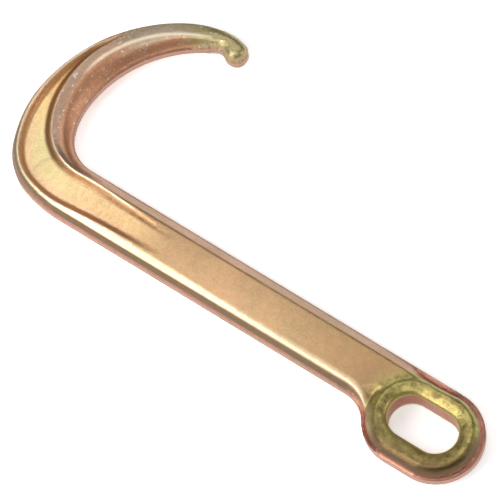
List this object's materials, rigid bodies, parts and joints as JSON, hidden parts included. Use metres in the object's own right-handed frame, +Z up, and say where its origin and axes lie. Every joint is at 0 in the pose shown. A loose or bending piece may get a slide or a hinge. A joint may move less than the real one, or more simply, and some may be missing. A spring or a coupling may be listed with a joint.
{
  "type": "safety chain hook",
  "caption": "Drop-forged J hook for tow and tie-down chain, with a pocketed bend, a beaded tip and an offset slotted eye on a flat shank.",
  "frame": {"origin": "centre of the bounding box, at its base: the hook lies flat and its lower face is at z = 0", "axes": "+X along the shank from the bend to the eye, +Y across the shank to the side the tip is on, +Z up through the forging's thickness"},
  "size_m": [0.203, 0.1014, 0.0136],
  "materials": {
    "gold_zinc_steel": "yellow-gold chromate over zinc plating on a drop-forged surface, satin"
  },
  "bodies": {
    "root": {"hook_forging": "gold_zinc_steel"}
  },
  "joints": []
}
